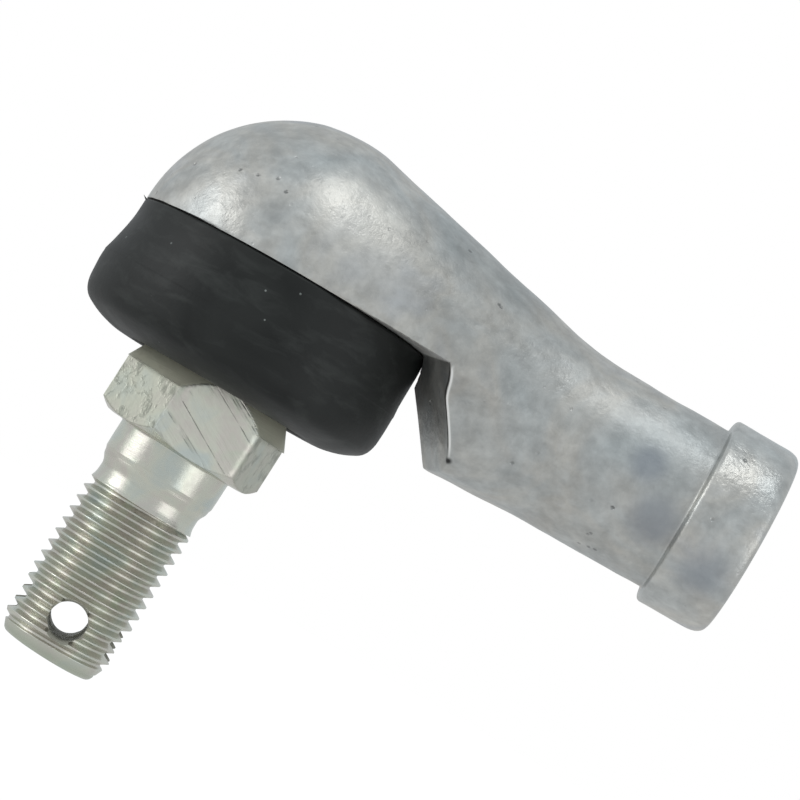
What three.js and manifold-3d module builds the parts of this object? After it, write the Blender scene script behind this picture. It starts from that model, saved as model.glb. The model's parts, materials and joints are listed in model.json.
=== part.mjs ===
// A tie rod end: a die-cast zinc housing with a dome and a threaded arm, a ball stud that swivels in
// plastic seats inside the dome, and a rubber dust boot between the two. Millimetres, +Z up. The origin
// is the centre of the arm's open socket, the arm runs back from it along -X to the dome, and the stud
// hangs down.
import * as THREE from 'three';
import { mergeVertices } from 'three/addons/utils/BufferGeometryUtils.js';
import Module from 'manifold-3d';

const wasm = await Module();
wasm.setup();

// Whole joint. Lengths below are measured from the ball centre unless a comment says otherwise.
const REACH = 43.4; // ball centre to the socket mouth
const REST_TILT = THREE.MathUtils.degToRad(2.7); // the stud's lean at rest, its tip away from the arm
const GAP = 0.3; // clearance between neighbouring pieces
const SIDES = 28; // sides of a turned piece, and of the larger ones below
const LARGE_SIDES = 40;

// Housing
const DOME_RADIUS = 13.03;
const CONE_FALL = 0.238; // how much the tapered neck's radius falls for each mm towards the arm
const ARM_START = 22.6; // where the taper begins to blend into the arm
// The arm's underside is fuller and squarer at the wall, from where it falls to the round arm.
const UNDER_ARM = { start: 17.2, end: 25.5, radius: 7.62, squareness: 4, roundBy: 28 };
const ARM_END = 37.2; // where the collar begins
const ARM_RADIUS = 7.34;
const ARM_DRAFT = 0.13; // how much the arm's radius falls from ARM_START to the collar
const COLLAR_RADIUS = 8.3;
const UNDERCUT_ANGLE = 18; // degrees below the side over which the taper shrinks to the arm's radius
const WALL_X = 11.78; // the V-shaped end wall under the dome: its ridge at z = 0
const WALL_RAKE = 0.724; // how far the ridge moves along +X for each mm down
const WALL_SPREAD = 0.385; // how far the wall falls back along +X for each mm to the side
const RIM_HEIGHT = 0.25; // the dome's flat rim, just above the ball centre
const BOOT_CLEARANCE = 13.5; // radius round the stud that the arm keeps clear of below the dome
const CAVITY_RADIUS = 9.9;
const POCKET_RADIUS = 4.6; // spring pocket in the dome's roof
const POCKET_TOP = 10.6;
const SPIGOT_RADIUS = 11.3; // short tube below the dome that carries the boot
const SPIGOT_BOTTOM = -6.6;
const RING_GROOVE = { radius: 10.5, top: -4.4, bottom: -5.8 }; // inside the spigot
const BAND_GROOVE = { radius: 10.7, top: -1.4, bottom: -3.2 }; // outside the spigot
const SOCKET_DEPTH = 24; // threaded depth from the mouth

// Threads: 3/8-24 UNF on the stud and in the socket
const PITCH = 25.4 / 24;
const MAJOR_RADIUS = 4.84;
const MINOR_RADIUS = 4.18;
const SOCKET_MAJOR = 4.86;
const SOCKET_MINOR = 4.25;

// Ball stud, with its lengths down the stud's own axis
const BALL_RADIUS = 7.5;
const NECK_RADIUS = 4.1;
const HEX_ACROSS_FLATS = 13;
const HEX_TOP = 9.2;
const HEX_BOTTOM = 16.4;
const HEX_TURN = 47.4; // degrees, turns the hexagon's corners about the stud
const FLATS_TOP = 12; // where five of the flats begin; the sixth runs up over the turned shoulder
const LONG_FLAT_AZIMUTH = -72.6; // the direction in which the sixth flat faces
const SHANK_RADIUS = 5.03;
const THREAD_START = 21.6;
const STUD_LENGTH = 35.8;
const CROSS_HOLE = { radius: 1.6, at: 32.3, azimuth: 7.1 };

// Seats, rings and boot
const SEAT_RADIUS = 7.8; // the seats' inner sphere
const SEAT_SHELL = 9.6; // the seats' outer radius
const SEAT_TOP = 8.6;
const LOWER_SEAT_BOTTOM = -3.4;
const WIRE_RING = { radius: 6.15, wire: 0.4, at: 7.9 };
// The boot leans with the stud: from top to bottom it moves over by shift, and its floor tips by tip.
const BOOT_LEAN = { top: -1, bottom: -6, shift: -0.4, tip: 0.012 };

const ZINC = { color: 0x9ba2a5, roughness: 0.5, metalness: 0.75 };
const PLATED_STEEL = { color: 0xb9bcab, roughness: 0.32, metalness: 0.85 };
const SPRING_STEEL = { color: 0x50555c, roughness: 0.4, metalness: 0.9 };
const ACETAL = { color: 0xe6e2d6, roughness: 0.45, metalness: 0 };
const RUBBER = { color: 0x232628, roughness: 0.6, metalness: 0 };

// Turns a three.js geometry into a solid: shared corners are merged and empty triangles left out.
function solidOf(geometry) {
  geometry.deleteAttribute('normal');
  geometry.deleteAttribute('uv');
  const merged = mergeVertices(geometry, 1e-4);
  const corners = merged.index.array;
  const triangles = [];
  for (let i = 0; i < corners.length; i += 3) {
    const [a, b, c] = corners.slice(i, i + 3);
    if (a !== b && b !== c && c !== a) triangles.push(a, b, c);
  }
  const vertProperties = new Float32Array(merged.attributes.position.array);
  const triVerts = new Uint32Array(triangles);
  return new wasm.Manifold(new wasm.Mesh({ numProp: 3, vertProperties, triVerts }));
}

function geometryOf(solid) {
  const mesh = solid.getMesh();
  const geometry = new THREE.BufferGeometry();
  geometry.setAttribute('position', new THREE.BufferAttribute(mesh.vertProperties, 3));
  geometry.setIndex(new THREE.BufferAttribute(mesh.triVerts, 1));
  geometry.computeVertexNormals();
  return geometry;
}

function addPiece(group, name, solid, finish) {
  const piece = new THREE.Mesh(geometryOf(solid), new THREE.MeshStandardMaterial(finish));
  piece.name = name;
  group.add(piece);
}

// A turned shape about Z. The outline is a list of [radius, height], upwards along the outside.
function turned(outline, sides = SIDES) {
  const points = outline.map(([radius, height]) => new THREE.Vector2(radius, height));
  return new THREE.LatheGeometry(points, sides).rotateX(Math.PI / 2);
}

// A turned ring of rectangular section about Z.
function washer(inner, outer, bottom, top, sides = SIDES) {
  return turned([[outer, bottom], [outer, top], [inner, top], [inner, bottom], [outer, bottom]], sides);
}

// A cylinder about Z.
function rod(radius, bottom, top, sides = SIDES) {
  return turned([[0, bottom], [radius, bottom], [radius, top], [0, top]], sides);
}

// Points [radius, height] along a circle about the origin, between two angles above the horizontal.
function arcPoints(radius, from, to, steps) {
  return Array.from({ length: steps + 1 }, (_, step) => {
    const angle = THREE.MathUtils.degToRad(from + ((to - from) * step) / steps);
    return [radius * Math.cos(angle), radius * Math.sin(angle)];
  });
}

// The height above the horizontal, in degrees, of a sphere's point at a given z.
const degreesUp = (z, radius) => THREE.MathUtils.radToDeg(Math.asin(z / radius));

// A screw thread along Z from z = 0, as a sheared grid: its rows are root and crest in turn, and each
// column stands a little higher than the last, so the last column meets the first one pitch higher up.
function threadedRod(crest, root, length, sides) {
  const rows = 2 * Math.ceil(length / PITCH) + 4;
  const height = (row, side) => PITCH * (row / 2 + side / sides);
  const positions = [];
  for (let row = 0; row < rows; row++) {
    for (let side = 0; side < sides; side++) {
      const angle = (2 * Math.PI * side) / sides;
      const radius = row % 2 ? crest : root;
      positions.push(radius * Math.cos(angle), radius * Math.sin(angle), height(row, side));
    }
  }
  // one column past the last is the first column, two rows up
  const corner = (row, side) => (side < sides ? row * sides + side : (row + 2) * sides);
  const triangles = [];
  for (let side = 0; side < sides; side++) {
    const usable = side < sides - 1 ? rows - 1 : rows - 3;
    for (let row = 0; row < usable; row++) {
      const [a, b] = [corner(row, side), corner(row, side + 1)];
      const [c, d] = [corner(row + 1, side + 1), corner(row + 1, side)];
      triangles.push(a, b, c, a, c, d);
    }
  }
  const sideNumbers = Array.from({ length: sides }, (_, side) => side);
  const last = rows - 1;
  const bottomLoop = [...sideNumbers, corner(2, 0), corner(1, 0)];
  const topLoop = [
    ...sideNumbers.map((side) => corner(last, side)),
    corner(last - 1, sides - 1),
    corner(last - 2, sides - 1),
  ];
  const bottomCentre = positions.length / 3;
  positions.push(0, 0, PITCH / 2, 0, 0, height(last, 0));
  const topCentre = bottomCentre + 1;
  bottomLoop.forEach((from, i) => {
    triangles.push(bottomCentre, bottomLoop[(i + 1) % bottomLoop.length], from);
  });
  topLoop.forEach((from, i) => triangles.push(topCentre, from, topLoop[(i + 1) % topLoop.length]));
  const geometry = new THREE.BufferGeometry();
  geometry.setAttribute('position', new THREE.Float32BufferAttribute(positions, 3));
  geometry.setIndex(triangles);
  return geometry;
}

// The cast skin: a sphere, a cone that touches it, a smooth blend, the arm and the collar, all turned
// about the arm's axis. Below the sides the cone shrinks to the arm's radius.
function castSkin() {
  const coneLength = Math.hypot(1, CONE_FALL);
  const touch = THREE.MathUtils.radToDeg(Math.atan2(1, CONE_FALL));
  const coneRadius = (x) => DOME_RADIUS * coneLength - CONE_FALL * x;
  const outline = arcPoints(DOME_RADIUS, 180, touch, 11).map(([x, radius]) => [radius, x]);
  for (const x of [7.5, 12, 16, 19.5]) outline.push([coneRadius(x), x]);
  const blend = new THREE.QuadraticBezierCurve(
    new THREE.Vector2(coneRadius(ARM_START), ARM_START),
    new THREE.Vector2(ARM_RADIUS, ARM_START + (coneRadius(ARM_START) - ARM_RADIUS) / CONE_FALL),
    new THREE.Vector2(ARM_RADIUS - ARM_DRAFT / 2, ARM_START + 6.5),
  );
  for (const point of blend.getPoints(3)) outline.push([point.x, point.y]);
  outline.push([ARM_RADIUS - ARM_DRAFT, ARM_END - 0.4]);
  outline.push([ARM_RADIUS - ARM_DRAFT + 0.1, ARM_END - 0.1], [COLLAR_RADIUS - 0.35, ARM_END + 0.2]);
  outline.push([COLLAR_RADIUS, ARM_END + 0.9], [COLLAR_RADIUS, REACH - 2.8]);
  outline.push([COLLAR_RADIUS - 0.15, REACH - 1], [COLLAR_RADIUS - 0.45, REACH - 0.35]);
  outline.push([COLLAR_RADIUS - 0.95, REACH], [0, REACH]);
  const points = outline.map(([radius, x]) => new THREE.Vector2(Math.max(radius, 0), x));
  points[0].x = 0;
  const skin = new THREE.LatheGeometry(points, LARGE_SIDES);
  skin.rotateY(Math.PI / LARGE_SIDES).rotateZ(-Math.PI / 2);
  // the underside's section is a superellipse, whose power falls to a circle's as the arm rounds
  const undersideRadius = (x, below) => {
    const { start, end, roundBy, squareness } = UNDER_ARM;
    const farRadius = ARM_RADIUS - ARM_DRAFT / 2;
    const radius = THREE.MathUtils.mapLinear(Math.min(x, end), start, end, UNDER_ARM.radius, farRadius);
    const power = squareness + (2 - squareness) * THREE.MathUtils.smoothstep(x, start, roundBy);
    return radius / (Math.cos(below) ** power + Math.sin(below) ** power) ** (1 / power);
  };
  const position = skin.attributes.position;
  for (let i = 0; i < position.count; i++) {
    const [x, y, z] = [position.getX(i), position.getY(i), position.getZ(i)];
    const radius = Math.hypot(y, z);
    if (z >= 0 || x >= ARM_END - 1 || x < 0) continue;
    const below = Math.asin(-z / radius);
    const armRadius = undersideRadius(x, below);
    if (radius <= armRadius) continue;
    const kept = 1 - THREE.MathUtils.smoothstep(THREE.MathUtils.radToDeg(below), 0, UNDERCUT_ANGLE);
    const wanted = armRadius + (radius - armRadius) * kept;
    position.setXYZ(i, x, (y * wanted) / radius, (z * wanted) / radius);
  }
  return solidOf(skin);
}

// What is cut away below the dome: everything in front of the V-shaped wall, and room for the boot.
function underDome() {
  const far = -22;
  const depth = 15;
  const outline = new THREE.Shape();
  outline.moveTo(far, RIM_HEIGHT);
  outline.lineTo(far, -depth);
  outline.lineTo(WALL_X + WALL_RAKE * depth, -depth);
  outline.lineTo(WALL_X - WALL_RAKE * RIM_HEIGHT, RIM_HEIGHT);
  const width = 16;
  const wedge = new THREE.ExtrudeGeometry(outline, { depth: 2 * width, steps: 2, bevelEnabled: false });
  wedge.translate(0, 0, -width).rotateX(Math.PI / 2);
  const position = wedge.attributes.position;
  for (let i = 0; i < position.count; i++) {
    position.setX(i, position.getX(i) + WALL_SPREAD * Math.abs(position.getY(i)));
  }
  return solidOf(wedge).add(solidOf(rod(BOOT_CLEARANCE, -depth, RIM_HEIGHT, LARGE_SIDES)));
}

function housing() {
  const spigot = solidOf(turned([
    [0, SPIGOT_BOTTOM],
    [SPIGOT_RADIUS - 0.4, SPIGOT_BOTTOM],
    [SPIGOT_RADIUS, SPIGOT_BOTTOM + 0.6],
    [SPIGOT_RADIUS, BAND_GROOVE.bottom],
    [BAND_GROOVE.radius, BAND_GROOVE.bottom],
    [BAND_GROOVE.radius, BAND_GROOVE.top],
    [SPIGOT_RADIUS, BAND_GROOVE.top],
    [SPIGOT_RADIUS, 1],
    [0, 1],
  ]));
  const pocketAngle = THREE.MathUtils.radToDeg(Math.acos(POCKET_RADIUS / CAVITY_RADIUS));
  const cavity = solidOf(turned([
    [0, SPIGOT_BOTTOM - 1],
    [CAVITY_RADIUS, SPIGOT_BOTTOM - 1],
    [CAVITY_RADIUS, RING_GROOVE.bottom],
    [RING_GROOVE.radius, RING_GROOVE.bottom],
    [RING_GROOVE.radius, RING_GROOVE.top],
    [CAVITY_RADIUS, RING_GROOVE.top],
    ...arcPoints(CAVITY_RADIUS, 0, pocketAngle, 6),
    [POCKET_RADIUS, POCKET_TOP],
    [0, POCKET_TOP],
  ]));
  const socketBottom = REACH - SOCKET_DEPTH;
  const thread = threadedRod(SOCKET_MAJOR, SOCKET_MINOR, SOCKET_DEPTH + 2, 12).rotateY(Math.PI / 2);
  const socket = solidOf(thread.translate(socketBottom - PITCH, 0, 0)).intersect(solidOf(
    rod(SOCKET_MAJOR + 1, socketBottom, REACH + 1.5, 8).rotateY(Math.PI / 2),
  ));
  const drillTip = solidOf(turned([
    [0, -2.4],
    [SOCKET_MINOR - 0.3, 0],
    [SOCKET_MINOR - 0.3, 0.8],
    [0, 0.8],
  ], 12).rotateY(Math.PI / 2).translate(socketBottom, 0, 0));
  const countersink = solidOf(turned([
    [0, -1.2],
    [SOCKET_MINOR - 0.25, -1.2],
    [SOCKET_MAJOR + 0.35, 0],
    [SOCKET_MAJOR + 0.35, 1],
    [0, 1],
  ]).rotateY(Math.PI / 2).translate(REACH, 0, 0));
  return castSkin().subtract(underDome()).add(spigot).subtract(cavity)
    .subtract(socket.add(drillTip).add(countersink));
}

// The stud stands in its own frame: its axis is Z, with the ball centre at 0 and the tip at the bottom.
function ballStud() {
  const neckAngle = THREE.MathUtils.radToDeg(Math.acos(NECK_RADIUS / BALL_RADIUS));
  const ball = solidOf(turned([
    [0, -HEX_TOP - 1],
    [NECK_RADIUS, -HEX_TOP - 1],
    ...arcPoints(BALL_RADIUS, -neckAngle, 90, 12).slice(0, -1),
    [0, BALL_RADIUS],
  ]));
  const hexRadius = HEX_ACROSS_FLATS / 2 / Math.cos(Math.PI / 6);
  const bar = new THREE.CylinderGeometry(hexRadius, hexRadius, 12, 6).rotateX(Math.PI / 2);
  bar.rotateZ(THREE.MathUtils.degToRad(HEX_TURN)).translate(0, 0, -HEX_TOP - 3);
  const shoulder = solidOf(turned([
    [0, -HEX_BOTTOM],
    [6.15, -HEX_BOTTOM],
    [hexRadius + 0.1, -HEX_BOTTOM + 0.65],
    [hexRadius + 0.1, -12.2],
    [7.1, -11.1],
    [6.82, -10.5],
    [6.5, -9.95],
    [5.5, -HEX_TOP],
    [0, -HEX_TOP],
  ]));
  const shank = solidOf(turned([
    [0, -THREAD_START - 1],
    [MINOR_RADIUS - 0.05, -THREAD_START - 1],
    [MINOR_RADIUS + 0.2, -THREAD_START],
    [4.7, -21.35],
    [4.5, -20.1],
    [SHANK_RADIUS - 0.15, -19.4],
    [SHANK_RADIUS, -17],
    [SHANK_RADIUS, -HEX_BOTTOM + 0.5],
    [0, -HEX_BOTTOM + 0.5],
  ]));
  const thread = threadedRod(MAJOR_RADIUS, MINOR_RADIUS, STUD_LENGTH - THREAD_START + 2, 20);
  thread.translate(0, 0, -STUD_LENGTH - 1.5 * PITCH);
  const threadEnds = solidOf(turned([
    [0, -STUD_LENGTH],
    [3.65, -STUD_LENGTH],
    [4.1, -STUD_LENGTH + 0.25],
    [MAJOR_RADIUS + 0.1, -STUD_LENGTH + 2.2],
    [MAJOR_RADIUS + 0.1, -THREAD_START - 0.4],
    [MINOR_RADIUS - 0.1, -THREAD_START + 0.3],
    [0, -THREAD_START + 0.3],
  ]));
  const block = new THREE.BoxGeometry(20, 20, 20);
  const aboveFlats = block.clone().translate(0, 0, 10 - FLATS_TOP);
  const behindLongFlat = block.clone().translate(HEX_ACROSS_FLATS / 2 - 10, 0, -HEX_TOP);
  behindLongFlat.rotateZ(THREE.MathUtils.degToRad(LONG_FLAT_AZIMUTH));
  const collar = shoulder.intersect(solidOf(aboveFlats)).intersect(solidOf(behindLongFlat));
  let stud = ball.add(solidOf(bar).intersect(shoulder)).add(collar).add(shank)
    .add(solidOf(thread).intersect(threadEnds));
  for (const azimuth of [CROSS_HOLE.azimuth, CROSS_HOLE.azimuth + 90]) {
    const hole = rod(CROSS_HOLE.radius, -8, 8, 16).rotateY(Math.PI / 2);
    hole.rotateZ(THREE.MathUtils.degToRad(azimuth)).translate(0, 0, -CROSS_HOLE.at);
    stud = stud.subtract(solidOf(hole));
  }
  return stud;
}

function upperSeat() {
  const rim = GAP;
  const topAngle = degreesUp(SEAT_TOP, SEAT_SHELL);
  const rimAngle = degreesUp(rim, SEAT_SHELL);
  const innerRimAngle = degreesUp(rim, SEAT_RADIUS);
  return solidOf(turned([
    ...arcPoints(SEAT_SHELL, rimAngle, topAngle, 5),
    [0, SEAT_TOP],
    [0, SEAT_RADIUS],
    ...arcPoints(SEAT_RADIUS, 90, innerRimAngle, 7).slice(1),
    arcPoints(SEAT_SHELL, rimAngle, topAngle, 1)[0],
  ]));
}

function lowerSeat() {
  const bottomAngle = degreesUp(LOWER_SEAT_BOTTOM, SEAT_RADIUS);
  return solidOf(turned([
    [SEAT_SHELL, LOWER_SEAT_BOTTOM],
    [SEAT_SHELL, 0],
    ...arcPoints(SEAT_RADIUS, 0, bottomAngle, 4),
    [SEAT_SHELL, LOWER_SEAT_BOTTOM],
  ]));
}

// A coned spring washer: the outer edge rests on the disc and the inner edge presses on the dome.
function preloadSpring() {
  const thickness = 0.35;
  return solidOf(turned([
    [4.2, 9.7],
    [4.2, 9.7 + thickness],
    [1.6, 10 + thickness],
    [1.6, 10],
    [4.2, 9.7],
  ]));
}

// An open ring that springs into a groove: an extruded arc with a gap.
function springRing(inner, outer, bottom, top, opening) {
  const half = THREE.MathUtils.degToRad(opening / 2);
  const outline = new THREE.Shape();
  outline.absarc(0, 0, outer, half, 2 * Math.PI - half, false);
  outline.absarc(0, 0, inner, 2 * Math.PI - half, half, true);
  const options = { depth: top - bottom, bevelEnabled: false, curveSegments: 20 };
  return solidOf(new THREE.ExtrudeGeometry(outline, options).translate(0, 0, bottom));
}

// The boot is a squat drum, turned about Z, and its lower part is then shifted on to the leaning stud.
function dustBoot() {
  const outline = [
    [8.3, -10.28], [9.5, -10.26], [10.7, -10.02], [11.7, -9.7], [12.5, -9.3], [13.05, -8.8], [13.36, -8.1],
    [13.52, -6], [13.52, -5.1], [13.7, -4.75], [13.45, -4.5], [13.18, -2.2], [13.06, RIM_HEIGHT - GAP],
    [11.6, RIM_HEIGHT - GAP], [11.6, -1.4], [12.4, -1.4], [12.4, -3.2], [11.6, -3.2],
    [11.75, -7], [11.3, -8.4], [10.2, -8.75], [9.5, -8.2], [9, -7.3], [7.6, -6.2], [6.2, -5.95],
    [5, -6], [4.5, -6.4],
    [4.5, -8.5], [5.4, -8.7], [5.4, -7], [6.95, -7], [6.95, -8.7], [7.9, -9], [8.3, -10.28],
  ];
  const boot = turned(outline, LARGE_SIDES);
  const position = boot.attributes.position;
  for (let i = 0; i < position.count; i++) {
    const [x, z] = [position.getX(i), position.getZ(i)];
    const lean = 1 - THREE.MathUtils.smoothstep(z, BOOT_LEAN.bottom, BOOT_LEAN.top);
    position.setX(i, x + BOOT_LEAN.shift * lean);
    position.setZ(i, z - x * BOOT_LEAN.tip * lean);
  }
  return solidOf(boot);
}

const assembly = new THREE.Group();
assembly.position.x = -REACH;
addPiece(assembly, 'housing', housing(), ZINC);
addPiece(assembly, 'preload_spring', preloadSpring(), SPRING_STEEL);
addPiece(assembly, 'pressure_disc', solidOf(rod(4.2, SEAT_TOP + GAP, 9.35)), PLATED_STEEL);
addPiece(assembly, 'upper_ball_seat', upperSeat(), ACETAL);
addPiece(assembly, 'lower_ball_seat', lowerSeat(), ACETAL);
addPiece(assembly, 'backing_washer', solidOf(washer(7, SEAT_SHELL, -4.4, -3.7)), PLATED_STEEL);
addPiece(assembly, 'retaining_ring', springRing(9.2, 10.2, -5.5, -4.7, 30), SPRING_STEEL);
addPiece(assembly, 'boot_band', springRing(11, 12.1, -2.9, -1.7, 6), SPRING_STEEL);
addPiece(assembly, 'dust_boot', dustBoot(), RUBBER);

const studFrame = new THREE.Group();
studFrame.rotation.y = REST_TILT;
const wire = new THREE.TorusGeometry(WIRE_RING.radius, WIRE_RING.wire, 8, SIDES);
addPiece(studFrame, 'boot_lip_ring', solidOf(wire.translate(0, 0, -WIRE_RING.at)), SPRING_STEEL);
addPiece(studFrame, 'ball_stud', ballStud(), PLATED_STEEL);
assembly.add(studFrame);

const part = new THREE.Group();
part.add(assembly);

export default part;
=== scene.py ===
"""The visual model of a tie rod end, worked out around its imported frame.

The casting, the ball stud and the dust boot are surfaces computed on grids. The pieces
inside the joint stay as the frame has them and get finer finishes. Shapes are worked out
in millimetres from the ball centre, and place() puts them into the frame in metres.
"""
import json
import math
import bpy
import numpy as np
from mathutils import Matrix, Vector


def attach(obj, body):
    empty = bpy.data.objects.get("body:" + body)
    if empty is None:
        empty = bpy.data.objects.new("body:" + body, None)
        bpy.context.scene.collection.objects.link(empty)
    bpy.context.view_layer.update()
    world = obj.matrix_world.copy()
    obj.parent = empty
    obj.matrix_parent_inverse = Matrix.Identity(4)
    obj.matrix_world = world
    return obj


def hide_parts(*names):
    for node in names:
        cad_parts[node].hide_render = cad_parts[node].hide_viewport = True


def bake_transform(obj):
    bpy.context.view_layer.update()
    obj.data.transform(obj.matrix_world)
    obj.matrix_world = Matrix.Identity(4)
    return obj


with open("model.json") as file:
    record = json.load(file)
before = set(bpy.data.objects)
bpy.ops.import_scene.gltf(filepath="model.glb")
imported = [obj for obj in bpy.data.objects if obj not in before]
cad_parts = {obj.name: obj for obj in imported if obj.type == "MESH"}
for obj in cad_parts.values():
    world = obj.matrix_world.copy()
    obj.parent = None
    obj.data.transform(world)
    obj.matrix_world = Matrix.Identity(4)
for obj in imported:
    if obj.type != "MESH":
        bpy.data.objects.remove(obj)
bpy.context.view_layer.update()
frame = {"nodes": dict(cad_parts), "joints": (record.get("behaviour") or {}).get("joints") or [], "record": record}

MM = 0.001
JOINTS = {joint["name"]: joint for joint in frame["joints"]}
BALL_CENTRE = np.array(JOINTS["stud_spin"]["pos_m"])
STUD_UP = np.array(JOINTS["stud_spin"]["axis"])
REACH = -BALL_CENTRE[0] / MM  # ball centre to the socket mouth

# Casting
DOME_RADIUS = 13.03
CONE_FALL = 0.238  # how much the neck's radius falls for each mm towards the arm
ARM_RADIUS = 7.34
ARM_END_RADIUS = 7.2
COLLAR_START = 37.25
COLLAR_RADIUS = 8.3
# the arm's underside is fuller and squarer at the wall, from where it falls to the round arm
UNDER_ARM = {"start": 17.2, "end": 25.5, "radius": 7.62, "far_radius": 7.275,
             "squareness": 4, "round_by": 28}
UNDERCUT_ANGLE = math.radians(18)
WALL_X = 11.78  # the V-shaped end wall under the dome: its ridge at z = 0
WALL_RAKE = 0.724
WALL_SPREAD = 0.385
RIM_HEIGHT = 0.25  # the dome's flat rim, just above the ball centre
BOOT_CLEARANCE = 13.3  # the wall's metal begins this far from the dome's axis
DENTS = [((5.2, -11.9, 2.4), 0.8), ((8.3, -11.2, 2.2), 0.65)]  # small round dents: centre and radius
DENT_DEPTH = 0.07
EYE_SHARE = 0.25  # the rays that shape a ring start this share of its radius above the axis
RIM_ROUNDING = 0.14  # of the edge between the outer skin and the rim or the wall
TYPICAL_EDGE_X = 16.4  # about where the wall meets the casting's side
CAVITY_RADIUS = 9.9
POCKET_RADIUS = 4.6
POCKET_TOP = 10.6
SPIGOT_RADIUS = 11.3
SPIGOT_BOTTOM = -6.6
RING_GROOVE = {"radius": 10.5, "top": -4.4, "bottom": -5.8}  # inside the spigot
BAND_GROOVE = {"radius": 10.7, "top": -1.4, "bottom": -3.2}  # outside the spigot
SOCKET_DEPTH = 24

# Threads: right-handed, one crest per pitch
PITCH = 25.4 / 24
MAJOR_RADIUS = 4.84
MINOR_RADIUS = 4.18
SOCKET_MAJOR = 4.86
SOCKET_MINOR = 4.25
CREST_HALF = 0.045  # half the width of a crest's flat, in pitches
FLANK = 0.36  # the width of a flank, in pitches

# Stud: lengths run down its own axis from the ball centre
BALL_RADIUS = 7.5
NECK_RADIUS = 4.1
HALF_FLATS = 6.5
HEX_TOP = 9.2
HEX_BOTTOM = 16.4
FLATS_TOP = 11.85  # where five of the flats begin; the sixth runs up over the turned shoulder
CORNER_AZIMUTH = math.radians(-42.6)
SOFT_CORNER = 0.45  # rounding of the corner between the sixth flat and the first
SHANK_RADIUS = 5.03
THREAD_START = 21.6
STUD_LENGTH = 35.8
RUN_IN_RADIUS = 4.72  # the plain stud where the thread begins
CROSS_HOLE = {"radius": 1.6, "at": 32.3, "azimuth": math.radians(7.1)}

# between these heights the boot's lower part moves and tips on to the leaning stud
BOOT_LEAN = {"top": -1, "bottom": -6, "shift": -0.4, "tip": 0.012}


# ---------------------------------------------------------------- shapes in general

def smoothstep(value):
    """0 below 0, 1 above 1, and 3v^2 - 2v^3 between them."""
    value = np.clip(value, 0, 1)
    return value * value * (3 - 2 * value)


def smooth_min(a, b, rounding):
    """The smaller of a and b, with the corner between them rounded over that width."""
    overlap = np.clip(rounding - np.abs(a - b), 0, None) / rounding
    return np.minimum(a, b) - overlap * overlap * rounding / 4


def smooth_max(a, b, rounding):
    """The larger of a and b, with the corner between them filled over that width."""
    return -smooth_min(-a, -b, rounding)


def stretches(*ends_and_steps):
    """Values that rise through each (start, end, step) stretch in turn, each in about equal steps."""
    parts = []
    for start, end, step in ends_and_steps:
        count = max(int(round(abs(end - start) / step)), 1)
        parts.append(np.linspace(start, end, count, endpoint=False))
    parts.append([ends_and_steps[-1][1]])
    return np.concatenate(parts)


def rounded_outline(corners, step):
    """An outline through (a, b, rounding) corners: each corner gives way to a parabola that starts
    and ends at its rounding distance, and the stretches between parabolas are straight."""
    corners = np.array(corners, float)
    points = [corners[:1, :2]]
    for before, corner, after in zip(corners[:-2], corners[1:-1], corners[2:]):
        size = corner[2]
        to_before = before[:2] - corner[:2]
        to_after = after[:2] - corner[:2]
        start = corner[:2] + to_before * min(size / np.hypot(*to_before), 0.5)
        end = corner[:2] + to_after * min(size / np.hypot(*to_after), 0.5)
        u = np.linspace(0, 1, 9)[:, None]
        points.append((1 - u) ** 2 * start + 2 * u * (1 - u) * corner[:2] + u * u * end)
    points.append(corners[-1:, :2])
    points = np.concatenate(points)
    length = np.concatenate([[0], np.cumsum(np.hypot(*np.diff(points, axis=0).T))])
    keep = np.concatenate([[True], np.diff(length) > 1e-6])
    even = np.linspace(0, length[-1], max(int(length[-1] / step), 8))
    spots = np.unique(np.concatenate([even, length[keep]]))
    far_enough = np.concatenate([[True], np.diff(spots) > step / 4])
    spots = spots[far_enough]
    return np.stack([np.interp(spots, length[keep], points[keep, i]) for i in (0, 1)], axis=1)


def ripple(points, wavelength, height, seed):
    """A gentle unevenness: the sum of ten plane waves of about that wavelength, in random directions."""
    chance = np.random.default_rng(seed)
    directions = chance.normal(size=(10, 3))
    directions /= np.linalg.norm(directions, axis=1, keepdims=True)
    lengths = wavelength * chance.uniform(0.7, 1.5, 10)
    phases = chance.uniform(0, 2 * math.pi, 10)
    waves = np.sin(points @ (2 * math.pi * directions / lengths[:, None]).T + phases)
    return height * waves.mean(axis=-1) * 2


def thread_depth(turns):
    """How deep a thread is, from 0 on the crest to 1 at the root, where turns is the distance along
    the axis in pitches less the angle in turns: a flat crest, two straight flanks and a root."""
    from_crest = np.abs(turns - np.round(turns))
    return np.clip((from_crest - CREST_HALF) / FLANK, 0, 1)


def place(points):
    """Points in mm from the ball centre, put into the frame in metres."""
    return BALL_CENTRE + np.asarray(points) * MM


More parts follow.
